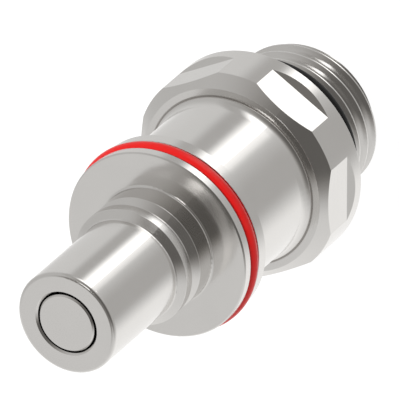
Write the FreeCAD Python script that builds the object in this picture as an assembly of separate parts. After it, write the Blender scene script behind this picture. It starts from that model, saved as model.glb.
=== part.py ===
import FreeCAD, Part
import math
import os

os.makedirs("parts", exist_ok=True)

# Plug half of a flush-face quick coupling for a liquid cooling loop, in millimetres.
# Z runs up the plug's axis, from 0 at the end face of the thread to the face of the nose.
# +X passes through the middle of one flat of the hexagon.

# Threaded end: a 9/16-18 UNF straight stud that seals with a rubber ring
thread_diameter = 14.288
thread_pitch = 1.411
thread_depth = 0.866
thread_crest_width = 0.14
thread_flank_angle = 30
thread_bevel = 0.72
thread_lead_width = 0.12
thread_start_angle = 60
stud_length = 8.67
undercut_width = 3.33
undercut_wall_angle = 30
undercut_radius = 5.95
port_seal_section = 1.98

# Hexagon and collar of the adaptor: each flat runs out in a plane that slopes back to the collar
across_flats = 19.05
hexagon_width = 3.85
hexagon_face_radius = 8.95
hexagon_bevel_height = 1.02
flat_runout_angle = 45
collar_radius = 10.06
collar_width = 1.58

# Waterway of the adaptor and the spigot that screws into the barrel
waterway_radius = 3.80
waterway_bevel = 0.45
spigot_bevel = 0.70
joint_thread_radius = 6.50
joint_thread_length = 4.10
joint_relief_width = 0.80
joint_relief_depth = 0.55
spigot_length = 7.00
joint_seal_section = 1.20
joint_seal_setback = 0.55

# Barrel and flange of the plug body
seam_radius = 8.20
flare_rounding = 1.50
barrel_radius = 7.70
barrel_length = 9.18
shoulder_fillet = 0.85
flange_radius = 8.98
flange_width = 3.85
flange_rear_bevel = 0.34
flange_bevel = 0.12

# Colour ring in the rim of the flange
colour_ring_section = 1.30
colour_ring_stands_proud = 0.24
colour_ring_setback = 1.65

# Neck: two rings with the groove that the locking balls drop into
neck_radius = 5.62
rear_ring_width = 2.04
ball_groove_width = 1.43
ball_groove_depth = 0.64
ball_groove_floor = 0.15
front_ring_width = 0.97
front_ring_lead = 0.49
neck_fillet = 0.22

# Nose
nose_radius = 4.88
nose_length = 10.64
nose_rounding = 0.36
nose_wall = 1.03
valve_bore_radius = 2.93
valve_bore_length = 3.20
valve_bore_bevel = 0.17

# Bore of the barrel, with the shoulder and groove that hold the valve guide
barrel_bore_radius = 5.20
barrel_bore_length = 1.80
guide_bore_radius = 6.00
guide_setback = 0.90

# Valve: a head that fills the nose, screwed to a stem
valve_gap = 0.17
valve_bevel = 0.14
valve_collar_radius = 3.30
valve_collar_height = 0.80
valve_boss_radius = 1.75
valve_boss_height = 0.80
valve_seal_section = 1.00
valve_seal_setback = 1.75
stem_radius = 1.25
stem_tip_radius = 1.00
stem_tip_length = 2.60
stem_tip_rounding = 0.18
stem_tail_length = 0.90
stem_tail_rounding = 0.24

# Valve guide, its bush and its circlip
guide_rim_height = 1.60
guide_rim_width = 1.25
guide_hub_radius = 2.80
guide_hub_height = 3.60
guide_legs = 3
guide_leg_width = 1.30
bush_wall = 0.62
bush_flange_radius = 2.70
bush_flange_height = 0.40
circlip_height = 0.70
circlip_width = 1.00
circlip_groove_depth = 0.40
circlip_opening = 3.20

# Valve spring
spring_wire = 0.50
spring_radius = 2.10
spring_active_turns = 7
spring_closed_gap = 0.01

# Clearances
running_clearance = 0.03
thread_clearance = 0.05
seating_clearance = 0.02
groove_clearance = 0.05
edge_rounding = 0.06

# Heights of the faces that the pieces share, from the thread's end face up to the nose's face
collar_z = stud_length
flats_end_z = collar_z + collar_width
seam_z = flats_end_z + hexagon_width
flange_rear_z = seam_z + barrel_length
flange_front_z = flange_rear_z + flange_width
ball_groove_z = flange_front_z + rear_ring_width
front_ring_z = ball_groove_z + ball_groove_width
lead_z = front_ring_z + front_ring_width
nose_root_z = lead_z + front_ring_lead
nose_face_z = nose_root_z + nose_length
spigot_tip_z = seam_z + spigot_length
guide_rear_z = spigot_tip_z + guide_setback
guide_front_z = guide_rear_z + guide_rim_height
valve_bore_z = nose_face_z - valve_bore_length

# Radii that follow from the sizes above
thread_radius = thread_diameter / 2
thread_root_radius = thread_radius - thread_depth
thread_end_radius = thread_radius - thread_bevel
chamber_radius = nose_radius - nose_wall
valve_head_radius = valve_bore_radius - valve_gap
spigot_radius = guide_bore_radius - seating_clearance
guide_rim_radius = guide_bore_radius - seating_clearance
bush_bore_radius = stem_radius + running_clearance
bush_radius = bush_bore_radius + bush_wall


def turned(corners, sweep=360):
    """A piece turned about Z from corners of (radius, height) or (radius, height, rounding)."""
    most_of_run = 0.96
    points = [FreeCAD.Vector(corner[0], 0, corner[1]) for corner in corners]
    count = len(points)
    half_angles, wanted = [], []
    for index, here in enumerate(points):
        angle = (points[index - 1] - here).getAngle(points[(index + 1) % count] - here)
        rounding = corners[index][2] if len(corners[index]) > 2 else 0
        half_angles.append(angle / 2)
        wanted.append(rounding / math.tan(angle / 2))
    enters, middles, leaves = [], [], []
    for index, here in enumerate(points):
        to_last = points[index - 1] - here
        to_next = points[(index + 1) % count] - here
        half_angle = half_angles[index]
        setback = wanted[index]
        for run, neighbour in ((to_last, wanted[index - 1]), (to_next, wanted[(index + 1) % count])):
            room = most_of_run * run.Length
            if wanted[index] + neighbour > room:
                share = wanted[index] / (wanted[index] + neighbour)
                setback = min(setback, room * share)
        rounding = setback * math.tan(half_angle)
        to_last.normalize()
        to_next.normalize()
        bisector = to_last + to_next
        enters.append(here + to_last * setback)
        leaves.append(here + to_next * setback)
        if rounding > 0:
            bisector.normalize()
            middles.append(here + bisector * (rounding / math.sin(half_angle) - rounding))
        else:
            middles.append(None)
    edges = []
    for index, middle in enumerate(middles):
        if middle is not None:
            edges.append(Part.Arc(enters[index], middle, leaves[index]).toShape())
        following = enters[(index + 1) % count]
        edges.append(Part.LineSegment(leaves[index], following).toShape())
    section = Part.Face(Part.Wire(edges))
    return section.revolve(FreeCAD.Vector(0, 0, 0), FreeCAD.Vector(0, 0, 1), sweep)


def rubber_ring(inner_radius, section, middle_z):
    """An O-ring of round section about Z."""
    middle_radius = inner_radius + section / 2
    return Part.makeTorus(middle_radius, section / 2, FreeCAD.Vector(0, 0, middle_z))


def thread_ridge(low_z, high_z):
    """The ridge of the male thread, swept along a helix, with straight flanks and a flat crest."""
    slope = math.tan(math.radians(thread_flank_angle))
    crest_half = thread_crest_width / 2
    root_half = crest_half + (thread_radius - thread_root_radius) * slope
    foot_half = (root_half + thread_pitch / 2) / 2
    buried_radius = thread_radius - (foot_half - crest_half) / slope
    corners = [
        FreeCAD.Vector(buried_radius, 0, low_z - foot_half),
        FreeCAD.Vector(thread_radius, 0, low_z - crest_half),
        FreeCAD.Vector(thread_radius, 0, low_z + crest_half),
        FreeCAD.Vector(buried_radius, 0, low_z + foot_half),
    ]
    section = Part.makePolygon(corners + corners[:1])
    helix = Part.makeHelix(thread_pitch, high_z - low_z, buried_radius)
    helix.translate(FreeCAD.Vector(0, 0, low_z))
    ridge = Part.Wire(helix.Edges).makePipeShell([section], True, True)
    ridge.rotate(FreeCAD.Vector(0, 0, 0), FreeCAD.Vector(0, 0, 1), thread_start_angle)
    return ridge


def make_adaptor():
    """The adaptor: hexagon, collar, threaded stud and the spigot inside the barrel."""
    joint_radius = joint_thread_radius - thread_clearance
    relief_z = seam_z + joint_relief_width
    joint_end_z = seam_z + joint_thread_length
    step = joint_radius - spigot_radius
    seal_low_z = joint_seal_low_z()
    seal_high_z = seal_low_z + joint_seal_section + 2 * groove_clearance
    seal_floor = spigot_radius - joint_seal_section
    relief_radius = joint_radius - joint_relief_depth
    undercut_z = collar_z - undercut_width
    wall_slope = math.tan(math.radians(undercut_wall_angle))
    lead_step = thread_end_radius - thread_root_radius
    blank = turned([
        (waterway_radius + waterway_bevel, 0),
        (thread_end_radius, 0),
        (thread_end_radius, thread_lead_width),
        (thread_root_radius, thread_lead_width + lead_step),
        (thread_root_radius, undercut_z - (thread_root_radius - undercut_radius) * wall_slope),
        (undercut_radius, undercut_z),
        (undercut_radius, collar_z, edge_rounding),
        (collar_radius, collar_z, edge_rounding),
        (collar_radius, seam_z - hexagon_bevel_height, edge_rounding),
        (hexagon_face_radius, seam_z, edge_rounding),
        (relief_radius, seam_z, edge_rounding),
        (relief_radius, relief_z, edge_rounding),
        (joint_radius, relief_z + joint_relief_depth, edge_rounding),
        (joint_radius, joint_end_z - step),
        (spigot_radius, joint_end_z),
        (spigot_radius, seal_low_z, edge_rounding),
        (seal_floor, seal_low_z, edge_rounding),
        (seal_floor, seal_high_z, edge_rounding),
        (spigot_radius, seal_high_z, edge_rounding),
        (spigot_radius, spigot_tip_z, edge_rounding),
        (waterway_radius + spigot_bevel, spigot_tip_z, edge_rounding),
        (waterway_radius, spigot_tip_z - spigot_bevel),
        (waterway_radius, waterway_bevel),
    ])
    beyond_radius = thread_radius + thread_depth
    envelope = turned([
        (0, 0),
        (thread_end_radius, 0),
        (beyond_radius, beyond_radius - thread_end_radius),
        (beyond_radius, undercut_z - (beyond_radius - undercut_radius) * wall_slope),
        (undercut_radius, undercut_z),
        (0, undercut_z),
    ])
    ridge = thread_ridge(-thread_pitch, undercut_z + thread_pitch).common(envelope)
    return blank.fuse(ridge).cut(hexagon_waste())


def hexagon_waste():
    """What milling the six flats removes, from their sloping run-out up to the seam."""
    flat_distance = across_flats / 2
    outer_distance = 2 * collar_radius
    half_length = 2 * collar_radius
    drop = (outer_distance - flat_distance) * math.tan(math.radians(flat_runout_angle))
    corners = [
        FreeCAD.Vector(flat_distance, -half_length, flats_end_z),
        FreeCAD.Vector(flat_distance, -half_length, seam_z),
        FreeCAD.Vector(outer_distance, -half_length, seam_z),
        FreeCAD.Vector(outer_distance, -half_length, flats_end_z - drop),
    ]
    section = Part.Face(Part.makePolygon(corners + corners[:1]))
    cut = section.extrude(FreeCAD.Vector(0, 2 * half_length, 0))
    cuts = []
    for index in range(6):
        turned_cut = cut.copy()
        turned_cut.rotate(FreeCAD.Vector(0, 0, 0), FreeCAD.Vector(0, 0, 1), 60 * index)
        cuts.append(turned_cut)
    return cuts


def joint_seal_low_z():
    """The low wall of the seal groove near the spigot's tip."""
    return spigot_tip_z - joint_seal_setback - joint_seal_section - 2 * groove_clearance


def make_plug_body():
    """The body: nose, neck, flange and barrel turned in one piece, with the stepped bore."""
    ring_middle_z = flange_front_z - colour_ring_setback
    ring_half = colour_ring_section / 2 + groove_clearance
    ring_floor = flange_radius + colour_ring_stands_proud - colour_ring_section
    ball_floor_radius = neck_radius - ball_groove_depth
    ball_wall = ball_groove_depth
    cone_z = guide_front_z + barrel_bore_length
    cone_end_z = cone_z + barrel_bore_radius - chamber_radius
    seat_z = valve_bore_z - (chamber_radius - valve_bore_radius)
    circlip_low_z = guide_rear_z - circlip_height - 2 * seating_clearance
    circlip_floor = guide_bore_radius + circlip_groove_depth
    joint_end_z = seam_z + joint_thread_length
    joint_step = joint_thread_radius - guide_bore_radius
    return turned([
        (joint_thread_radius, seam_z),
        (seam_radius, seam_z, edge_rounding),
        (barrel_radius, seam_z + seam_radius - barrel_radius, flare_rounding),
        (barrel_radius, flange_rear_z, shoulder_fillet),
        (flange_radius - flange_rear_bevel, flange_rear_z),
        (flange_radius, flange_rear_z + flange_rear_bevel),
        (flange_radius, ring_middle_z - ring_half, edge_rounding),
        (ring_floor, ring_middle_z - ring_half, edge_rounding),
        (ring_floor, ring_middle_z + ring_half, edge_rounding),
        (flange_radius, ring_middle_z + ring_half, edge_rounding),
        (flange_radius, flange_front_z - flange_bevel),
        (flange_radius - flange_bevel, flange_front_z),
        (neck_radius, flange_front_z, neck_fillet),
        (neck_radius, ball_groove_z, edge_rounding),
        (ball_floor_radius, ball_groove_z + ball_wall, ball_groove_floor),
        (ball_floor_radius, front_ring_z - ball_wall, ball_groove_floor),
        (neck_radius, front_ring_z, edge_rounding),
        (neck_radius, lead_z, edge_rounding),
        (nose_radius, nose_root_z, neck_fillet),
        (nose_radius, nose_face_z, nose_rounding),
        (valve_bore_radius + valve_bore_bevel, nose_face_z),
        (valve_bore_radius, nose_face_z - valve_bore_bevel),
        (valve_bore_radius, valve_bore_z),
        (chamber_radius, seat_z),
        (chamber_radius, cone_end_z),
        (barrel_bore_radius, cone_z),
        (barrel_bore_radius, guide_front_z),
        (guide_bore_radius, guide_front_z),
        (guide_bore_radius, guide_rear_z),
        (circlip_floor, guide_rear_z),
        (circlip_floor, circlip_low_z),
        (guide_bore_radius, circlip_low_z),
        (guide_bore_radius, joint_end_z + joint_step),
        (joint_thread_radius, joint_end_z),
    ])


def make_valve_head():
    """The valve head: front land, seal groove, conical collar, spring boss and a tapped hole."""
    seal_middle_z = nose_face_z - valve_seal_setback
    seal_half = valve_seal_section / 2 + groove_clearance
    seal_floor = valve_bore_radius - running_clearance - valve_seal_section
    cone_z = valve_bore_z + valve_gap - seating_clearance * math.sqrt(2)
    collar_top_z = cone_z - (valve_collar_radius - valve_head_radius)
    hole_radius = stem_tip_radius + running_clearance
    hole_end_z = valve_boss_z() + stem_tip_length + thread_clearance
    return turned([
        (hole_radius, valve_boss_z()),
        (valve_boss_radius, valve_boss_z(), edge_rounding),
        (valve_boss_radius, valve_spring_z(), edge_rounding),
        (valve_collar_radius, valve_spring_z(), edge_rounding),
        (valve_collar_radius, collar_top_z, edge_rounding),
        (valve_head_radius, cone_z),
        (valve_head_radius, seal_middle_z - seal_half, edge_rounding),
        (seal_floor, seal_middle_z - seal_half, edge_rounding),
        (seal_floor, seal_middle_z + seal_half, edge_rounding),
        (valve_head_radius, seal_middle_z + seal_half, edge_rounding),
        (valve_head_radius, nose_face_z - valve_bevel),
        (valve_head_radius - valve_bevel, nose_face_z),
        (0, nose_face_z),
        (0, hole_end_z),
        (hole_radius, hole_end_z),
    ])


def valve_spring_z():
    """The face of the valve's collar that the spring pushes on."""
    cone_z = valve_bore_z + valve_gap - seating_clearance * math.sqrt(2)
    return cone_z - (valve_collar_radius - valve_head_radius) - valve_collar_height


def valve_boss_z():
    """The rear end of the valve head, where the stem's shoulder seats."""
    return valve_spring_z() - valve_boss_height


def bush_top_z():
    """The face of the bush's flange that the spring sits on."""
    return guide_rear_z + guide_hub_height + bush_flange_height


def make_valve_stem():
    """The stem: a threaded tip in the valve head and a rod that ends behind the guide."""
    tail_z = guide_rear_z - stem_tail_length
    return turned([
        (0, tail_z),
        (stem_radius, tail_z, stem_tail_rounding),
        (stem_radius, valve_boss_z(), edge_rounding),
        (stem_tip_radius, valve_boss_z()),
        (stem_tip_radius, valve_boss_z() + stem_tip_length, stem_tip_rounding),
        (0, valve_boss_z() + stem_tip_length),
    ])


def make_valve_guide():
    """The guide: a rim and a hub joined by legs, with the coolant passing between the legs."""
    rim_inner = guide_rim_radius - guide_rim_width
    rim = turned([
        (rim_inner, guide_rear_z, edge_rounding),
        (guide_rim_radius, guide_rear_z, edge_rounding),
        (guide_rim_radius, guide_front_z, edge_rounding),
        (rim_inner, guide_front_z, edge_rounding),
    ])
    hub_top_z = guide_rear_z + guide_hub_height
    hub = turned([
        (bush_radius, guide_rear_z),
        (guide_hub_radius, guide_rear_z, edge_rounding),
        (guide_hub_radius, hub_top_z, edge_rounding),
        (bush_radius, hub_top_z),
    ])
    guide = rim.fuse(hub)
    leg_inner = (bush_radius + guide_hub_radius) / 2
    leg_outer = guide_rim_radius - guide_rim_width / 2
    for index in range(guide_legs):
        corner = FreeCAD.Vector(leg_inner, -guide_leg_width / 2, guide_rear_z)
        leg = Part.makeBox(leg_outer - leg_inner, guide_leg_width, guide_rim_height, corner)
        leg.rotate(FreeCAD.Vector(0, 0, 0), FreeCAD.Vector(0, 0, 1), 360 / guide_legs * index)
        guide = guide.fuse(leg)
    return guide.removeSplitter()


def make_guide_bush():
    """The plastic bush in the guide's hub, with a flange that the spring sits on."""
    hub_top_z = guide_rear_z + guide_hub_height
    return turned([
        (bush_bore_radius, guide_rear_z, edge_rounding),
        (bush_radius, guide_rear_z, edge_rounding),
        (bush_radius, hub_top_z),
        (bush_flange_radius, hub_top_z, edge_rounding),
        (bush_flange_radius, bush_top_z(), edge_rounding),
        (bush_bore_radius, bush_top_z(), edge_rounding),
    ])


def make_guide_circlip():
    """The open ring that snaps into the barrel's groove behind the guide."""
    outer = guide_bore_radius + circlip_groove_depth - groove_clearance
    inner = outer - circlip_width - circlip_groove_depth
    low_z = guide_rear_z - circlip_height - seating_clearance
    high_z = guide_rear_z - seating_clearance
    opening = math.degrees(circlip_opening / inner)
    ring = turned([
        (inner, low_z, edge_rounding),
        (outer, low_z, edge_rounding),
        (outer, high_z, edge_rounding),
        (inner, high_z, edge_rounding),
    ], 360 - opening)
    ring.rotate(FreeCAD.Vector(0, 0, 0), FreeCAD.Vector(0, 0, 1), opening / 2)
    return ring


def make_valve_spring():
    """The spring: round wire with one closed, ground turn at each end."""
    low_z = bush_top_z()
    high_z = valve_spring_z() - seating_clearance
    turns = spring_active_turns + 2
    ground_depth = spring_wire / 4
    wire_low_z = low_z + ground_depth
    wire_high_z = high_z - ground_depth
    closed_rise = spring_wire + spring_closed_gap
    active_rise = (wire_high_z - wire_low_z - 2 * closed_rise) / spring_active_turns
    points_per_turn = 12
    points = []
    height = wire_low_z
    for index in range(turns * points_per_turn + 1):
        angle = 2 * math.pi * index / points_per_turn
        x = spring_radius * math.cos(angle)
        y = spring_radius * math.sin(angle)
        points.append(FreeCAD.Vector(x, y, height))
        turn = (index + 0.5) / points_per_turn
        closed = turn < 1 or turn > turns - 1
        height += (closed_rise if closed else active_rise) / points_per_turn
    path = Part.BSplineCurve()
    path.interpolate(points)
    start = path.tangent(path.FirstParameter)[0]
    profile = Part.Wire(Part.Circle(points[0], start, spring_wire / 2).toShape())
    coil = Part.Wire(path.toShape()).makePipeShell([profile], True, True)
    slab = Part.makeCylinder(2 * spring_radius, high_z - low_z, FreeCAD.Vector(0, 0, low_z))
    return coil.common(slab)


undercut_wall = math.radians(undercut_wall_angle)
port_seal_half = port_seal_section / 2
port_seal_wall_z = collar_z - undercut_width - port_seal_half * math.tan(undercut_wall)
port_seal_middle_z = port_seal_wall_z + (port_seal_half + seating_clearance) / math.cos(undercut_wall)
joint_seal_middle_z = joint_seal_low_z() + joint_seal_section / 2 + groove_clearance
colour_ring_inner = flange_radius + colour_ring_stands_proud - colour_ring_section
valve_seal_inner = valve_bore_radius - running_clearance - valve_seal_section
joint_seal_inner = spigot_radius - joint_seal_section
colour_ring_z = flange_front_z - colour_ring_setback
valve_seal_z = nose_face_z - valve_seal_setback

pieces = {
    "plug_body": make_plug_body(),
    "adaptor": make_adaptor(),
    "colour_ring": rubber_ring(colour_ring_inner, colour_ring_section, colour_ring_z),
    "port_seal": rubber_ring(undercut_radius, port_seal_section, port_seal_middle_z),
    "joint_seal": rubber_ring(joint_seal_inner, joint_seal_section, joint_seal_middle_z),
    "valve_head": make_valve_head(),
    "valve_stem": make_valve_stem(),
    "valve_seal": rubber_ring(valve_seal_inner, valve_seal_section, valve_seal_z),
    "valve_spring": make_valve_spring(),
    "valve_guide": make_valve_guide(),
    "guide_bush": make_guide_bush(),
    "guide_circlip": make_guide_circlip(),
}

for name, shape in pieces.items():
    solids = len(shape.Solids)
    print(name, "solids", solids, "valid", shape.isValid(), "volume", round(shape.Volume, 3))
    shape.exportStep(f"parts/{name}.step")
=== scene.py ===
import math

import bmesh
import bpy
from mathutils import Matrix, Vector


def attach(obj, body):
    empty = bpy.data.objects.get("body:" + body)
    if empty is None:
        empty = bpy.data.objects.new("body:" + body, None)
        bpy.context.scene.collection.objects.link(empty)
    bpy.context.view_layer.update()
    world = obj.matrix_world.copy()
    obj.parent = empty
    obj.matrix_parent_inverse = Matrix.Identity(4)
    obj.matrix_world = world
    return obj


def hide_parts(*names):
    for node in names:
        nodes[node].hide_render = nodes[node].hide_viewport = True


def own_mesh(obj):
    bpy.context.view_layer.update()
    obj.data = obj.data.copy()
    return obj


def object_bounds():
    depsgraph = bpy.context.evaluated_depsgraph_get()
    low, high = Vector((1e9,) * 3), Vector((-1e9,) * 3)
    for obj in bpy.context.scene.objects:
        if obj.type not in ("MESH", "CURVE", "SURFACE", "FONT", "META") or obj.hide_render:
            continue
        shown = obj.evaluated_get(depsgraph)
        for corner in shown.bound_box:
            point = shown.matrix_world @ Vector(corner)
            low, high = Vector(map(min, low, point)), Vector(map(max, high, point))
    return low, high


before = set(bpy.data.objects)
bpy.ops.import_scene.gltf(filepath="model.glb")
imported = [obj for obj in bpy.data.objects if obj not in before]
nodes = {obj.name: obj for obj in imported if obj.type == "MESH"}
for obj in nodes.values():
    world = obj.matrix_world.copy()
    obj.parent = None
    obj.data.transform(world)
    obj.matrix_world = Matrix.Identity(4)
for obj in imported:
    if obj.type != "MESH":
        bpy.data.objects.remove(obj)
cad_low, cad_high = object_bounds()


# Plug body
# The nose, the neck with its ball groove, the flange and the barrel are one piece of stainless
# steel, turned from bar and polished to a satin sheen. The cutting tool has left fine lines that
# run round the axis on the sides and lie in rings on the faces.
MM = 0.001
STEEL = (0.745, 0.733, 0.717)
# The colour of the painted shade at the seam with the adaptor. It darkens the steel where the crevice's shade
# and the hexagon's mirror image would be.
SEAM_SHADE_COLOUR = (0.45, 0.43, 0.41, 1)
SEAM_RADIUS = 8.20 * MM
SEAM_REACH = 0.16 * MM


def scaled(colour, share):
    """A colour made lighter or darker, with its alpha."""
    return (*[min(1, channel * share) for channel in colour], 1)


def math_node(tree, operation, *values):
    """Adds a Math node fed by sockets or plain numbers and returns its result."""
    node = tree.nodes.new("ShaderNodeMath")
    node.operation = operation
    for socket, value in zip(node.inputs, values):
        if isinstance(value, (int, float)):
            socket.default_value = value
        else:
            tree.links.new(value, socket)
    return node.outputs[0]


def smooth_step(tree, value, start, end, at_start=0.0, at_end=1.0):
    """A soft step: the result goes from at_start to at_end while the value goes from start to end."""
    node = tree.nodes.new("ShaderNodeMapRange")
    node.interpolation_type = "SMOOTHSTEP"
    tree.links.new(value, node.inputs["Value"])
    for label, number in (
        ("From Min", start), ("From Max", end), ("To Min", at_start), ("To Max", at_end)
    ):
        node.inputs[label].default_value = number
    return node.outputs[0]


def noise(tree, vector, scale, detail=2.0, dimensions="3D", distortion=0.0):
    """Adds a noise texture on a vector and returns its value, from 0 to 1."""
    node = tree.nodes.new("ShaderNodeTexNoise")
    node.noise_dimensions = dimensions
    node.inputs["Scale"].default_value = scale
    node.inputs["Detail"].default_value = detail
    node.inputs["Distortion"].default_value = distortion
    tree.links.new(vector, node.inputs["Vector"])
    return node.outputs[0]


def new_group(name, inputs, outputs):
    """Makes a shader node group: inputs give each socket's kind and first value, outputs its kind."""
    group = bpy.data.node_groups.new(name, "ShaderNodeTree")
    for label, (kind, value) in inputs.items():
        socket = group.interface.new_socket(label, in_out="INPUT", socket_type=kind)
        if value is not None:
            socket.default_value = value
    for label, kind in outputs.items():
        group.interface.new_socket(label, in_out="OUTPUT", socket_type=kind)
    return group, group.nodes.new("NodeGroupInput"), group.nodes.new("NodeGroupOutput")


def use_group(tree, group, position, **values):
    """Places a node group in a material, on a position socket, with its own values."""
    node = tree.nodes.new("ShaderNodeGroup")
    node.node_tree = group
    tree.links.new(position, node.inputs["Position"])
    for key, value in values.items():
        node.inputs[key.replace("_", " ").title()].default_value = value
    return node


def from_axis(tree, x, y):
    """The distance from the Z axis."""
    squares = math_node(tree, "ADD", math_node(tree, "MULTIPLY", x, x), math_node(tree, "MULTIPLY", y, y))
    return math_node(tree, "SQRT", squares)


def turning_marks_group():
    """Fine rings left by a cutting tool: they follow circles about Z on sides and on faces."""
    group, given, result = new_group(
        "turning marks",
        {
            "Position": ("NodeSocketVector", None),
            "Groove Width": ("NodeSocketFloat", 0.05 * MM),
            "Unevenness": ("NodeSocketFloat", 0.3),
        },
        {"Height": "NodeSocketFloat", "Dullness": "NodeSocketFloat"},
    )
    links = group.links
    parts = group.nodes.new("ShaderNodeSeparateXYZ")
    links.new(given.outputs["Position"], parts.inputs[0])
    x, y, z = parts.outputs
    radius = from_axis(group, x, y)
    profile = group.nodes.new("ShaderNodeCombineXYZ")
    links.new(math_node(group, "DIVIDE", radius, given.outputs["Groove Width"]), profile.inputs[0])
    links.new(math_node(group, "DIVIDE", z, given.outputs["Groove Width"]), profile.inputs[1])
    grooves = noise(group, profile.outputs[0], 1.0, dimensions="2D")
    bands = noise(group, profile.outputs[0], 0.12, detail=1.0, dimensions="2D")
    patches = noise(group, given.outputs["Position"], 420.0)
    centred = math_node(group, "SUBTRACT", patches, 0.5)
    dullness = math_node(group, "MULTIPLY_ADD", centred, given.outputs["Unevenness"], bands)
    links.new(grooves, result.inputs["Height"])
    links.new(dullness, result.inputs["Dullness"])
    return group


def handling_group():
    """Soft patches where a surface has been handled and wiped."""
    group, given, result = new_group(
        "handling",
        {"Position": ("NodeSocketVector", None), "Patch Size": ("NodeSocketFloat", 4 * MM)},
        {"Smudge": "NodeSocketFloat"},
    )
    stretched = group.nodes.new("ShaderNodeVectorMath")
    stretched.operation = "SCALE"
    group.links.new(given.outputs["Position"], stretched.inputs[0])
    group.links.new(math_node(group, "DIVIDE", 1.0, given.outputs["Patch Size"]), stretched.inputs["Scale"])
    cloud = noise(group, stretched.outputs[0], 1.0, detail=3.0, distortion=0.6)
    group.links.new(cloud, result.inputs["Smudge"])
    return group


def painted_seam_shade_group():
    """Painted shade along the line where the two pieces meet: a dark line standing in for the shade of the
    crevice and for the hexagon's dark mirror image, which the steel doesn't show. Its steel would mirror the
    bright tent without it.
    """
    group, given, result = new_group(
        "painted seam shade",
        {
            "Position": ("NodeSocketVector", None),
            "Seam Height": ("NodeSocketFloat", 0.0),
            "Seam Radius": ("NodeSocketFloat", SEAM_RADIUS),
            "Reach": ("NodeSocketFloat", SEAM_REACH),
        },
        {"Painted Shade": "NodeSocketFloat"},
    )
    parts = group.nodes.new("ShaderNodeSeparateXYZ")
    group.links.new(given.outputs["Position"], parts.inputs[0])
    x, y, z = parts.outputs
    outward = math_node(group, "SUBTRACT", from_axis(group, x, y), given.outputs["Seam Radius"])
    upward = math_node(group, "SUBTRACT", z, given.outputs["Seam Height"])
    sideways = math_node(group, "ABSOLUTE", outward)
    off_seam = math_node(group, "MAXIMUM", sideways, math_node(group, "ABSOLUTE", upward))
    shares = math_node(group, "DIVIDE", off_seam, given.outputs["Reach"])
    group.links.new(smooth_step(group, shares, 0.25, 1.0, 1.0, 0.0), result.inputs["Painted Shade"])
    return group


turning_marks = turning_marks_group()
handling = handling_group()
painted_seam_shade = painted_seam_shade_group()


def new_material(name, metallic=0.0):
    """A material with an empty Principled shader; returns it with its tree, shader and position."""
    material = bpy.data.materials.new(name)
    material.use_nodes = True
    tree = material.node_tree
    tree.nodes.clear()
    output = tree.nodes.new("ShaderNodeOutputMaterial")
    shader = tree.nodes.new("ShaderNodeBsdfPrincipled")
    shader.inputs["Metallic"].default_value = metallic
    tree.links.new(shader.outputs[0], output.inputs["Surface"])
    place = tree.nodes.new("ShaderNodeTexCoord")
    return material, tree, shader, place.outputs["Object"]


def mix_colours(tree, factor, first, second):
    """Adds a colour Mix node between two plain colours or sockets and returns its result."""
    node = tree.nodes.new("ShaderNodeMix")
    node.data_type = "RGBA"
    tree.links.new(factor, node.inputs["Factor"])
    for label, colour in (("A", first), ("B", second)):
        socket = next(s for s in node.inputs if s.name == label and s.type == "RGBA")
        if isinstance(colour, tuple):
            socket.default_value = colour
        else:
            tree.links.new(colour, socket)
    return next(s for s in node.outputs if s.type == "RGBA")


def add_bump(tree, shader, height, depth, strength):
    """Feeds a height through a Bump node into the shader's Normal."""
    bump = tree.nodes.new("ShaderNodeBump")
    bump.inputs["Strength"].default_value = strength
    bump.inputs["Distance"].default_value = depth
    tree.links.new(height, bump.inputs["Height"])
    tree.links.new(bump.outputs[0], shader.inputs["Normal"])


def turned_steel(name, colour, roughness, groove_width, flats=None, seam_height=None):
    """Stainless steel with turning marks, or milling marks where the flats mask says so, and a painted shade
    along the seam when a seam height is given.
    """
    material, tree, shader, position = new_material(name, metallic=1.0)
    marks = use_group(tree, turning_marks, position, groove_width=groove_width)
    wiped = use_group(tree, handling, position)
    height = marks.outputs["Height"]
    if flats:
        milled = use_group(tree, flats, position)
        height = math_node(tree, "MULTIPLY", height, math_node(tree, "SUBTRACT", 1.0, milled.outputs["Mask"]))
        height = math_node(tree, "ADD", height, milled.outputs["Height"])
    tint = mix_colours(tree, wiped.outputs["Smudge"], scaled(colour, 0.97), scaled(colour, 1.03))
    dull = math_node(tree, "MULTIPLY_ADD", marks.outputs["Dullness"], roughness * 0.3, roughness * 0.72)
    rough = math_node(tree, "MULTIPLY_ADD", wiped.outputs["Smudge"], roughness * 0.26, dull)
    # A painted shade darkens and roughens the steel along the seam. It stands in for the crevice's shade and
    # for the dark hexagon that the steel doesn't mirror.
    if seam_height is not None:
        painted_shade = use_group(tree, painted_seam_shade, position, seam_height=seam_height)
        tint = mix_colours(tree, painted_shade.outputs["Painted Shade"], tint, SEAM_SHADE_COLOUR)
        rough = math_node(tree, "MULTIPLY_ADD", painted_shade.outputs["Painted Shade"], 0.3, rough)
    tree.links.new(tint, shader.inputs["Base Color"])
    tree.links.new(rough, shader.inputs["Roughness"])
    add_bump(tree, shader, height, 0.0005 * MM, 0.35)
    return material


def dress(node, material):
    """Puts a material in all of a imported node's slots."""
    for index in range(len(nodes[node].data.materials)):
        nodes[node].data.materials[index] = material


# The barrel's foot gets a painted shade along its seam with the adaptor, at the body's lowest point.
seam_height = min(vertex.co.z for vertex in nodes["plug_body"].data.vertices)
body_steel = turned_steel("satin turned steel", STEEL, 0.15, 0.05 * MM, seam_height=seam_height)
dress("plug_body", body_steel)


# Colour ring
# A red silicone ring, moulded in two halves of a tool, stretched into the groove of the flange.
# It tells the supply line from the return line. A faint parting line runs round its outside.
RED = (0.86, 0.013, 0.012)


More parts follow.
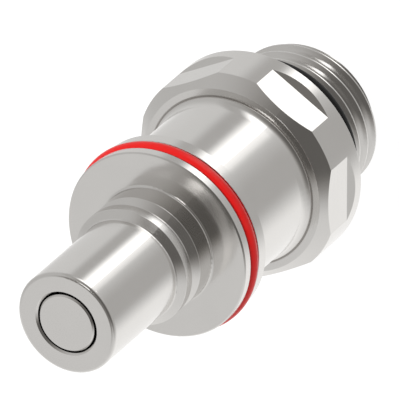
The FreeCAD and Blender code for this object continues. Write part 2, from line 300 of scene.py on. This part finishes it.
def moulded_rubber_group():
    """The skin of a moulded ring: fine grain, the parting line at its middle height, and dust."""
    group, given, result = new_group(
        "moulded rubber",
        {
            "Position": ("NodeSocketVector", None),
            "Grain Size": ("NodeSocketFloat", 0.06 * MM),
            "Middle Height": ("NodeSocketFloat", 0.0),
            "Line Width": ("NodeSocketFloat", 0.05 * MM),
        },
        {"Height": "NodeSocketFloat", "Dust": "NodeSocketFloat", "Parting": "NodeSocketFloat"},
    )
    links = group.links
    stretched = group.nodes.new("ShaderNodeVectorMath")
    stretched.operation = "SCALE"
    links.new(given.outputs["Position"], stretched.inputs[0])
    links.new(math_node(group, "DIVIDE", 1.0, given.outputs["Grain Size"]), stretched.inputs["Scale"])
    grain = noise(group, stretched.outputs[0], 1.0)
    cloud = noise(group, stretched.outputs[0], 0.05, detail=4.0)
    parts = group.nodes.new("ShaderNodeSeparateXYZ")
    links.new(given.outputs["Position"], parts.inputs[0])
    above = math_node(group, "SUBTRACT", parts.outputs[2], given.outputs["Middle Height"])
    off_middle = math_node(group, "DIVIDE", math_node(group, "ABSOLUTE", above), given.outputs["Line Width"])
    parting = smooth_step(group, off_middle, 0.4, 1.0, 1.0, 0.0)
    height = math_node(group, "MULTIPLY_ADD", grain, 0.35, math_node(group, "MULTIPLY", parting, 0.65))
    links.new(height, result.inputs["Height"])
    links.new(smooth_step(group, cloud, 0.55, 0.8), result.inputs["Dust"])
    links.new(parting, result.inputs["Parting"])
    return group


moulded_rubber = moulded_rubber_group()


def rubber(name, node, colour, dust_colour, roughness, gloss=0.5):
    """Dresses a ring in rubber whose parting line lies at the middle of that ring."""
    heights = [vertex.co.z for vertex in nodes[node].data.vertices]
    middle_height = (min(heights) + max(heights)) / 2
    material, tree, shader, position = new_material(name)
    skin = use_group(tree, moulded_rubber, position, middle_height=middle_height)
    tint = mix_colours(tree, skin.outputs["Dust"], scaled(colour, 1), scaled(dust_colour, 1))
    tree.links.new(tint, shader.inputs["Base Color"])
    rough = math_node(tree, "MULTIPLY_ADD", skin.outputs["Dust"], 0.12, roughness)
    tree.links.new(rough, shader.inputs["Roughness"])
    shader.inputs["Specular IOR Level"].default_value = gloss
    add_bump(tree, shader, skin.outputs["Height"], 0.004 * MM, 0.5)
    dress(node, material)


rubber("red silicone", "colour_ring", RED, (0.82, 0.028, 0.025), 0.30, gloss=0.3)


# Valve
# The head closes the nose flush with its face and screws onto a thin stem; both are turned steel.
# A small black rubber ring in the head's groove seals it in the nose until a socket pushes it in.
BLACK = (0.008, 0.008, 0.008)
DUST_ON_BLACK = (0.016, 0.015, 0.014)

dress("valve_head", turned_steel("faced valve steel", STEEL, 0.15, 0.05 * MM))
dress("valve_stem", turned_steel("ground stem steel", scaled(STEEL, 0.97)[:3], 0.12, 0.02 * MM))
rubber("black valve rubber", "valve_seal", BLACK, DUST_ON_BLACK, 0.42, gloss=0.3)


# Valve spring
# A coil of drawn stainless wire, seven free turns between two closed turns whose ends are ground flat. It
# stands on the bush's flange and pushes the valve head shut. It is built at the length of the imported
# spring, which it hides.
COIL_RADIUS = 2.10 * MM
WIRE_RADIUS = 0.25 * MM
FREE_TURNS = 7


def drawn_wire_steel():
    """Steel wire with faint lines drawn along it and the brown breath of its heat treatment."""
    material, tree, shader, position = new_material("drawn spring wire", metallic=1.0)
    marks = use_group(tree, turning_marks, position, groove_width=0.03 * MM, unevenness=0.6)
    warmed = use_group(tree, handling, position, patch_size=1.5 * MM)
    tint = mix_colours(tree, warmed.outputs["Smudge"], (0.50, 0.45, 0.38, 1), scaled(STEEL, 0.85))
    tree.links.new(tint, shader.inputs["Base Color"])
    rough = math_node(tree, "MULTIPLY_ADD", marks.outputs["Dullness"], 0.1, 0.2)
    tree.links.new(rough, shader.inputs["Roughness"])
    add_bump(tree, shader, marks.outputs["Height"], 0.001 * MM, 0.3)
    return material


def spring_tree(material):
    """Geometry nodes for a coil spring about Z with a closed turn at each end, ground flat."""
    tree = bpy.data.node_groups.new("coil spring", "GeometryNodeTree")
    for label in ("Coil Radius", "Wire Radius", "Low Height", "High Height"):
        tree.interface.new_socket(label, in_out="INPUT", socket_type="NodeSocketFloat")
    tree.interface.new_socket("Free Turns", in_out="INPUT", socket_type="NodeSocketInt")
    tree.interface.new_socket("Points Per Turn", in_out="INPUT", socket_type="NodeSocketInt")
    tree.interface.new_socket("Geometry", in_out="OUTPUT", socket_type="NodeSocketGeometry")
    given = tree.nodes.new("NodeGroupInput").outputs
    result = tree.nodes.new("NodeGroupOutput")
    links = tree.links
    turns = math_node(tree, "ADD", given["Free Turns"], 2)
    count = math_node(tree, "MULTIPLY_ADD", turns, given["Points Per Turn"], 1)
    line = tree.nodes.new("GeometryNodeCurvePrimitiveLine")
    dots = tree.nodes.new("GeometryNodeResampleCurve")
    links.new(line.outputs[0], dots.inputs["Curve"])
    links.new(count, dots.inputs["Count"])
    index = tree.nodes.new("GeometryNodeInputIndex")
    turn = math_node(tree, "DIVIDE", index.outputs[0], given["Points Per Turn"])
    angle = math_node(tree, "MULTIPLY", turn, 2 * math.pi)
    ground = math_node(tree, "MULTIPLY", given["Wire Radius"], 0.5)
    wire_low = math_node(tree, "ADD", given["Low Height"], ground)
    wire_high = math_node(tree, "SUBTRACT", given["High Height"], ground)
    closed_rise = math_node(tree, "MULTIPLY", given["Wire Radius"], 2.04)
    span = math_node(tree, "SUBTRACT", wire_high, wire_low)
    free_span = math_node(tree, "SUBTRACT", span, math_node(tree, "MULTIPLY", closed_rise, 2))
    free_rise = math_node(tree, "DIVIDE", free_span, given["Free Turns"])
    past_first = math_node(tree, "MAXIMUM", math_node(tree, "SUBTRACT", turn, 1), 0)
    free_turn = math_node(tree, "MINIMUM", past_first, given["Free Turns"])
    closed_turn = math_node(tree, "SUBTRACT", turn, free_turn)
    climbed = math_node(tree, "MULTIPLY_ADD", closed_turn, closed_rise, wire_low)
    height = math_node(tree, "MULTIPLY_ADD", free_turn, free_rise, climbed)
    place = tree.nodes.new("ShaderNodeCombineXYZ")
    for axis, operation in enumerate(("COSINE", "SINE")):
        share = math_node(tree, operation, angle)
        links.new(math_node(tree, "MULTIPLY", share, given["Coil Radius"]), place.inputs[axis])
    links.new(height, place.inputs[2])
    coil = tree.nodes.new("GeometryNodeSetPosition")
    links.new(dots.outputs[0], coil.inputs["Geometry"])
    links.new(place.outputs[0], coil.inputs["Position"])
    round_wire = tree.nodes.new("GeometryNodeCurvePrimitiveCircle")
    round_wire.inputs["Resolution"].default_value = 12
    links.new(given["Wire Radius"], round_wire.inputs["Radius"])
    wire = tree.nodes.new("GeometryNodeCurveToMesh")
    wire.inputs["Fill Caps"].default_value = True
    links.new(coil.outputs[0], wire.inputs["Curve"])
    links.new(round_wire.outputs[0], wire.inputs["Profile Curve"])
    spot = tree.nodes.new("GeometryNodeInputPosition")
    parts = tree.nodes.new("ShaderNodeSeparateXYZ")
    links.new(spot.outputs[0], parts.inputs[0])
    flat_low = math_node(tree, "MAXIMUM", parts.outputs[2], given["Low Height"])
    flat_high = math_node(tree, "MINIMUM", flat_low, given["High Height"])
    ground_spot = tree.nodes.new("ShaderNodeCombineXYZ")
    links.new(parts.outputs[0], ground_spot.inputs[0])
    links.new(parts.outputs[1], ground_spot.inputs[1])
    links.new(flat_high, ground_spot.inputs[2])
    grind = tree.nodes.new("GeometryNodeSetPosition")
    links.new(wire.outputs[0], grind.inputs["Geometry"])
    links.new(ground_spot.outputs[0], grind.inputs["Position"])
    soft = tree.nodes.new("GeometryNodeSetShadeSmooth")
    links.new(grind.outputs[0], soft.inputs["Geometry"])
    real = tree.nodes.new("GeometryNodeRealizeInstances")
    links.new(soft.outputs[0], real.inputs[0])
    painted = tree.nodes.new("GeometryNodeSetMaterial")
    painted.inputs["Material"].default_value = material
    links.new(real.outputs[0], painted.inputs["Geometry"])
    links.new(painted.outputs[0], result.inputs["Geometry"])
    return tree


def grown(name, tree, values):
    """An object whose mesh is what a geometry nodes tree gives for these values."""
    seed = bpy.data.objects.new(name + " seed", bpy.data.meshes.new(name + " seed"))
    bpy.context.scene.collection.objects.link(seed)
    modifier = seed.modifiers.new(name, "NODES")
    modifier.node_group = tree
    for item in tree.interface.items_tree:
        if item.in_out == "INPUT" and item.name in values:
            modifier[item.identifier] = values[item.name]
    bpy.context.view_layer.update()
    shape = seed.evaluated_get(bpy.context.evaluated_depsgraph_get())
    mesh = bpy.data.meshes.new_from_object(shape)
    seed.modifiers.clear()
    bpy.data.objects.remove(seed)
    mesh.name = name
    piece = bpy.data.objects.new(name, mesh)
    bpy.context.scene.collection.objects.link(piece)
    return piece


spring_heights = [vertex.co.z for vertex in nodes["valve_spring"].data.vertices]
spring_low = min(spring_heights)
spring_high = max(spring_heights)
spring = grown("valve_spring_coil", spring_tree(drawn_wire_steel()), {
    "Coil Radius": COIL_RADIUS,
    "Wire Radius": WIRE_RADIUS,
    "Low Height": spring_low,
    "High Height": spring_high,
    "Free Turns": FREE_TURNS,
    "Points Per Turn": 40,
})
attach(spring, "plug")
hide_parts("valve_spring")
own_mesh(spring)


# Valve guide
# A three-legged steel spider carries the stem in the middle of the barrel and lets coolant past.
# A plastic bush is pressed into its hub, and an open spring ring holds it against its shoulder.
PLASTIC = (0.63, 0.60, 0.51)


def moulded_plastic():
    """Natural acetal: slightly mottled, with a soft sheen and fine tool lines."""
    material, tree, shader, position = new_material("natural acetal")
    marks = use_group(tree, turning_marks, position, groove_width=0.06 * MM)
    cloudy = use_group(tree, handling, position, patch_size=1.2 * MM)
    tint = mix_colours(tree, cloudy.outputs["Smudge"], scaled(PLASTIC, 0.93), scaled(PLASTIC, 1.07))
    tree.links.new(tint, shader.inputs["Base Color"])
    rough = math_node(tree, "MULTIPLY_ADD", marks.outputs["Dullness"], 0.15, 0.35)
    tree.links.new(rough, shader.inputs["Roughness"])
    shader.inputs["Subsurface Weight"].default_value = 0.1
    shader.inputs["Subsurface Radius"].default_value = (0.4 * MM, 0.3 * MM, 0.2 * MM)
    add_bump(tree, shader, marks.outputs["Height"], 0.001 * MM, 0.4)
    return material


dress("valve_guide", turned_steel("milled guide steel", scaled(STEEL, 0.92)[:3], 0.24, 0.08 * MM))
dress("guide_bush", moulded_plastic())
dress("guide_circlip", turned_steel("spring ring steel", scaled(STEEL, 0.8)[:3], 0.28, 0.04 * MM))


# Adaptor
# The hexagon, the collar and the threaded stud are a second piece of stainless steel, screwed into
# the barrel. It is turned too, and its six flats are milled, with fine lines across each flat.
# The steel of the barrel and of the thread doesn't mirror it, so that both show only the tent.
FLAT_DISTANCE = 9.525 * MM
FEED_STEP = 0.12 * MM
THREAD_PITCH = 1.411 * MM
THREAD_START_ANGLE = math.radians(60)
THREAD_TOP = 5.34 * MM
THREAD_ROOT_RADIUS = 6.278 * MM
FLANK_EASE = 0.06 * MM


def milled_flats_group():
    """Finds the six flats by their distance from the axis and gives them straight feed lines."""
    group, given, result = new_group(
        "milled flats",
        {
            "Position": ("NodeSocketVector", None),
            "Flat Distance": ("NodeSocketFloat", FLAT_DISTANCE),
            "Feed Step": ("NodeSocketFloat", FEED_STEP),
        },
        {"Height": "NodeSocketFloat", "Mask": "NodeSocketFloat"},
    )
    links = group.links
    parts = group.nodes.new("ShaderNodeSeparateXYZ")
    links.new(given.outputs["Position"], parts.inputs[0])
    x, y, z = parts.outputs
    radius = from_axis(group, x, y)
    sixth = math.pi / 3
    bearing = math_node(group, "ARCTAN2", y, x)
    off_flat = math_node(group, "WRAP", bearing, sixth / 2, -sixth / 2)
    depth = math_node(group, "MULTIPLY", radius, math_node(group, "COSINE", off_flat))
    along = math_node(group, "MULTIPLY", radius, math_node(group, "SINE", off_flat))
    miss = math_node(group, "ABSOLUTE", math_node(group, "SUBTRACT", depth, given.outputs["Flat Distance"]))
    mask = smooth_step(group, miss, 0.01 * MM, 0.02 * MM, 1.0, 0.0)
    steps = group.nodes.new("ShaderNodeCombineXYZ")
    links.new(math_node(group, "DIVIDE", along, given.outputs["Feed Step"]), steps.inputs[0])
    line_length = math_node(group, "MULTIPLY", given.outputs["Feed Step"], 20)
    links.new(math_node(group, "DIVIDE", z, line_length), steps.inputs[1])
    lines = noise(group, steps.outputs[0], 1.0, dimensions="2D")
    links.new(math_node(group, "MULTIPLY", lines, mask), result.inputs["Height"])
    links.new(mask, result.inputs["Mask"])
    return group


def rolled_thread_group():
    """Follows the thread's helix: lowest at each crest and highest in each root, outside the bore."""
    group, given, result = new_group(
        "rolled thread",
        {
            "Position": ("NodeSocketVector", None),
            "Pitch": ("NodeSocketFloat", THREAD_PITCH),
            "Start Angle": ("NodeSocketFloat", THREAD_START_ANGLE),
            "Top Height": ("NodeSocketFloat", THREAD_TOP),
            "Root Radius": ("NodeSocketFloat", THREAD_ROOT_RADIUS),
        },
        {"Height": "NodeSocketFloat"},
    )
    links = group.links
    parts = group.nodes.new("ShaderNodeSeparateXYZ")
    links.new(given.outputs["Position"], parts.inputs[0])
    x, y, z = parts.outputs
    climb = math_node(group, "MULTIPLY", math_node(group, "DIVIDE", z, given.outputs["Pitch"]), 2 * math.pi)
    around = math_node(group, "SUBTRACT", math_node(group, "ARCTAN2", y, x), given.outputs["Start Angle"])
    phase = math_node(group, "SUBTRACT", climb, around)
    wave = math_node(group, "COSINE", phase)
    sharper = math_node(group, "COSINE", math_node(group, "MULTIPLY", phase, 3))
    wave = math_node(group, "MULTIPLY_ADD", sharper, 1 / 3, wave)
    below_top = math_node(group, "DIVIDE", z, given.outputs["Top Height"])
    on_stud = smooth_step(group, below_top, 0.94, 1.0, 1.0, 0.0)
    outward = math_node(group, "DIVIDE", from_axis(group, x, y), given.outputs["Root Radius"])
    on_outside = smooth_step(group, outward, 0.90, 0.96)
    share = math_node(group, "MULTIPLY", on_stud, on_outside)
    eased = math_node(group, "MULTIPLY", wave, share)
    links.new(math_node(group, "MULTIPLY", eased, -1), result.inputs["Height"])
    return group


def ease_flanks(material):
    """Rounds the thread's flanks a little under the fine marks, as rolling leaves them."""
    tree = material.node_tree
    place = tree.nodes.new("ShaderNodeTexCoord")
    rolled = use_group(tree, rolled_thread_group(), place.outputs["Object"])
    ease = tree.nodes.new("ShaderNodeBump")
    ease.inputs["Strength"].default_value = 1.0
    ease.inputs["Distance"].default_value = FLANK_EASE
    tree.links.new(rolled.outputs["Height"], ease.inputs["Height"])
    tree.links.new(ease.outputs[0], tree.nodes["Bump"].inputs["Normal"])


# The adaptor's face gets the same painted shade along the seam as the barrel's foot.
adaptor_steel = turned_steel(
    "turned and milled steel", STEEL, 0.15, 0.05 * MM, flats=milled_flats_group(), seam_height=seam_height
)
ease_flanks(adaptor_steel)
dress("adaptor", adaptor_steel)
nodes["adaptor"].visible_glossy = False


# Seals of the adaptor
# A thick black rubber ring in the undercut seals the stud in its port, and a thinner one on the
# spigot seals the adaptor inside the barrel. Both are moulded, with a dull, slightly dusty skin.
# The thread doesn't mirror the thick one, as it doesn't mirror the collar above it.
rubber("black port rubber", "port_seal", BLACK, DUST_ON_BLACK, 0.55, gloss=0.15)
rubber("black joint rubber", "joint_seal", BLACK, DUST_ON_BLACK, 0.55, gloss=0.15)
nodes["port_seal"].visible_glossy = False


# Floor
# A plain white table under the plug. Its own glow keeps it white, and a little of the lamps'
# light on top of that lets the plug's shadow show. The steel doesn't mirror it.
FLOOR_HALF = 2.0
FLOOR_HEIGHT = -0.05 * MM
FLOOR_GLOW = 0.93
FLOOR_GREY = (0.2, 0.2, 0.2, 1)

floor_mesh = bpy.data.meshes.new("floor")
floor_form = bmesh.new()
floor_place = Matrix.Translation((0, 0, FLOOR_HEIGHT))
bmesh.ops.create_grid(floor_form, x_segments=4, y_segments=4, size=FLOOR_HALF, matrix=floor_place)
floor_form.to_mesh(floor_mesh)
floor_form.free()
floor = bpy.data.objects.new("floor", floor_mesh)
bpy.context.scene.collection.objects.link(floor)
floor.visible_glossy = False
floor.visible_diffuse = False
floor.visible_shadow = False
floor.visible_transmission = False
floor_look = bpy.data.materials.new("white table")
floor_look.use_nodes = True
tree = floor_look.node_tree
tree.nodes.clear()
matt = tree.nodes.new("ShaderNodeBsdfDiffuse")
matt.inputs["Color"].default_value = FLOOR_GREY
glow = tree.nodes.new("ShaderNodeEmission")
glow.inputs["Strength"].default_value = FLOOR_GLOW
both = tree.nodes.new("ShaderNodeAddShader")
output = tree.nodes.new("ShaderNodeOutputMaterial")
tree.links.new(matt.outputs[0], both.inputs[0])
tree.links.new(glow.outputs[0], both.inputs[1])
tree.links.new(both.outputs[0], output.inputs["Surface"])
floor_mesh.materials.append(floor_look)


# Light tent
# Pale walls with a darker opening on the camera's side, a bright strip low on the left and a soft
# box above it, whose lamp lights the rubber. Bearings are in degrees from the camera's, positive
# to the picture's right; each edge fades between two bearings or two heights.
CAMERA_BEARING = -10.575
CAMERA_HEIGHT = 48.298
LOW_LEVEL = 0.50
DARK_LEVEL = 0.135
TOP_LEVEL = 0.205
LEFT_EDGE_LOW_DOWN = (-84, -66)
LEFT_EDGE_HIGH_UP = (-95, 5)
RIGHT_EDGE = (53, 99)
STRIP_LEVEL = 1.0
STRIP_BEARINGS = ((-54, -34), (-26, -4))
STRIP_HEIGHTS = ((-88, -80), (-5, 10))
GLOW_LEVEL = 0.28
GLOW_BEARINGS = ((-54, -34), (-30, 25))
GLOW_HEIGHTS = ((-88, -80), (-5, 20))
BOX_LEVEL = 2.2
BOX_BEARINGS = ((-82, -66), (-40, -24))
BOX_HEIGHTS = ((63, 67), (75, 80))
LAMP_BEARING = -57
LAMP_HEIGHT = 66
LAMP_DISTANCE = 1.0
LAMP_RADIUS = 0.19
LAMP_LEVEL = 16


def direction_at(bearing, height):
    """The unit vector at a bearing from the camera's and a height above the horizon, in degrees."""
    around = math.radians(CAMERA_BEARING - bearing)
    up_angle = math.radians(height)
    level = math.cos(up_angle)
    return Vector((math.cos(around) * level, math.sin(around) * level, math.sin(up_angle)))


world = bpy.data.worlds.new("light tent")
bpy.context.scene.world = world
world.use_nodes = True
tree = world.node_tree
tree.nodes.clear()
place = tree.nodes.new("ShaderNodeTexCoord")
turned = tree.nodes.new("ShaderNodeVectorRotate")
turned.rotation_type = "Z_AXIS"
turned.inputs["Angle"].default_value = math.radians(-CAMERA_BEARING)
tree.links.new(place.outputs["Generated"], turned.inputs["Vector"])
parts = tree.nodes.new("ShaderNodeSeparateXYZ")
tree.links.new(turned.outputs[0], parts.inputs[0])
to_degrees = 180 / math.pi
aside = math_node(tree, "MULTIPLY", parts.outputs[1], -1.0)
bearing = math_node(tree, "MULTIPLY", math_node(tree, "ARCTAN2", aside, parts.outputs[0]), to_degrees)
height = math_node(tree, "MULTIPLY", math_node(tree, "ARCSINE", parts.outputs[2]), to_degrees)


def blend(factor, first, second):
    """A value between two values."""
    node = tree.nodes.new("ShaderNodeMix")
    for socket, value in zip(node.inputs[:1] + node.inputs[2:4], (factor, first, second)):
        if isinstance(value, (int, float)):
            socket.default_value = value
        else:
            tree.links.new(value, socket)
    return node.outputs[0]


def window(value, rise, fall):
    """One between the end of the rise and the start of the fall, zero outside both, soft in them."""
    inside = smooth_step(tree, value, *rise)
    return math_node(tree, "MULTIPLY", inside, smooth_step(tree, value, *fall, 1.0, 0.0))


right_wall = smooth_step(tree, height, -45, 50, 1.03, 0.73)
left_wall = smooth_step(tree, height, -45, 10, 0.73, 0.58)
front_share = smooth_step(tree, bearing, -10, 10)
rear_share = smooth_step(tree, bearing, -180, -140, 1.0, 0.0)
walls = blend(math_node(tree, "MAXIMUM", front_share, rear_share), left_wall, right_wall)
walls = blend(smooth_step(tree, height, 50, 70), walls, TOP_LEVEL)
upper_half = smooth_step(tree, height, -5, 25)
left_edge_low_down = smooth_step(tree, bearing, *LEFT_EDGE_LOW_DOWN)
left_edge_high_up = smooth_step(tree, bearing, *LEFT_EDGE_HIGH_UP)
left_edge = blend(upper_half, left_edge_low_down, left_edge_high_up)
opening = math_node(tree, "MULTIPLY", left_edge, smooth_step(tree, bearing, *RIGHT_EDGE, 1.0, 0.0))
behind_opening = smooth_step(tree, height, -3, 33, LOW_LEVEL, DARK_LEVEL)
behind_opening = blend(smooth_step(tree, height, 63, 74), behind_opening, TOP_LEVEL)
level = blend(opening, walls, behind_opening)
for extra, bearings, heights in (
    (STRIP_LEVEL, STRIP_BEARINGS, STRIP_HEIGHTS),
    (GLOW_LEVEL, GLOW_BEARINGS, GLOW_HEIGHTS),
    (BOX_LEVEL, BOX_BEARINGS, BOX_HEIGHTS),
):
    patch = math_node(tree, "MULTIPLY", window(bearing, *bearings), window(height, *heights))
    level = math_node(tree, "MULTIPLY_ADD", patch, extra, level)
tent = tree.nodes.new("ShaderNodeBackground")
brightness = smooth_step(tree, level, 0.1, 0.7)
tree.links.new(mix_colours(tree, brightness, (1, 0.955, 0.90, 1), (1, 0.992, 0.980, 1)), tent.inputs["Color"])
tree.links.new(level, tent.inputs["Strength"])
plain = tree.nodes.new("ShaderNodeBackground")
plain.inputs["Color"].default_value = (1, 1, 1, 1)
plain.inputs["Strength"].default_value = 1.0
path = tree.nodes.new("ShaderNodeLightPath")
choose = tree.nodes.new("ShaderNodeMixShader")
tree.links.new(path.outputs["Is Camera Ray"], choose.inputs["Fac"])
tree.links.new(tent.outputs[0], choose.inputs[1])
tree.links.new(plain.outputs[0], choose.inputs[2])
output = tree.nodes.new("ShaderNodeOutputWorld")
tree.links.new(choose.outputs[0], output.inputs["Surface"])

lamp_data = bpy.data.lights.new("soft box lamp", "AREA")
lamp_data.shape = "DISK"
lamp_data.size = 2 * LAMP_RADIUS
lamp_data.energy = LAMP_LEVEL * math.pi * math.pi * LAMP_RADIUS ** 2
lamp = bpy.data.objects.new("soft box lamp", lamp_data)
bpy.context.scene.collection.objects.link(lamp)
toward_lamp = direction_at(LAMP_BEARING, LAMP_HEIGHT)
middle = Vector((0, 0, 20 * MM))
lamp.location = middle + toward_lamp * LAMP_DISTANCE
lamp.rotation_euler = toward_lamp.to_track_quat("Z", "Y").to_euler()
lamp.visible_glossy = False


# Camera
# The picture shows no perspective, so a very long lens stands far off, turned about its line of
# sight until the nose points down to the left. Its place is set from the centre of the nose face.
TURNED_BY = 40.991
HALF_VIEW_ANGLE = 0.62
HALF_VIEW_WIDTH = 17.52 * MM
NOSE_FACE_LEFT_OF_CENTRE = 11.62 * MM
NOSE_FACE_BELOW_CENTRE = 10.73 * MM
TARGET_BEHIND_NOSE_FACE = 15.71 * MM

back = direction_at(0, CAMERA_HEIGHT)
axis_seen = (Vector((0, 0, 1)) - back.z * back).normalized()
across_seen = back.cross(axis_seen)
roll = math.radians(TURNED_BY)
right = -math.cos(roll) * axis_seen + math.sin(roll) * across_seen
up = -math.sin(roll) * axis_seen - math.cos(roll) * across_seen
nose_face = Vector((0, 0, cad_high[2]))
target = nose_face + NOSE_FACE_LEFT_OF_CENTRE * right + NOSE_FACE_BELOW_CENTRE * up
target = target - back * TARGET_BEHIND_NOSE_FACE
half_view = math.radians(HALF_VIEW_ANGLE)
distance = HALF_VIEW_WIDTH / math.tan(half_view)
camera_data = bpy.data.cameras.new("camera")
camera_data.sensor_width = 36
camera_data.lens = 18 / math.tan(half_view)
camera_data.clip_start = 0.1
camera_data.clip_end = 5
camera = bpy.data.objects.new("camera", camera_data)
bpy.context.scene.collection.objects.link(camera)
facing = Matrix((right, up, back)).transposed().to_4x4()
camera.matrix_world = Matrix.Translation(target + back * distance) @ facing
bpy.context.scene.camera = camera
bpy.context.scene.view_settings.view_transform = "Standard"
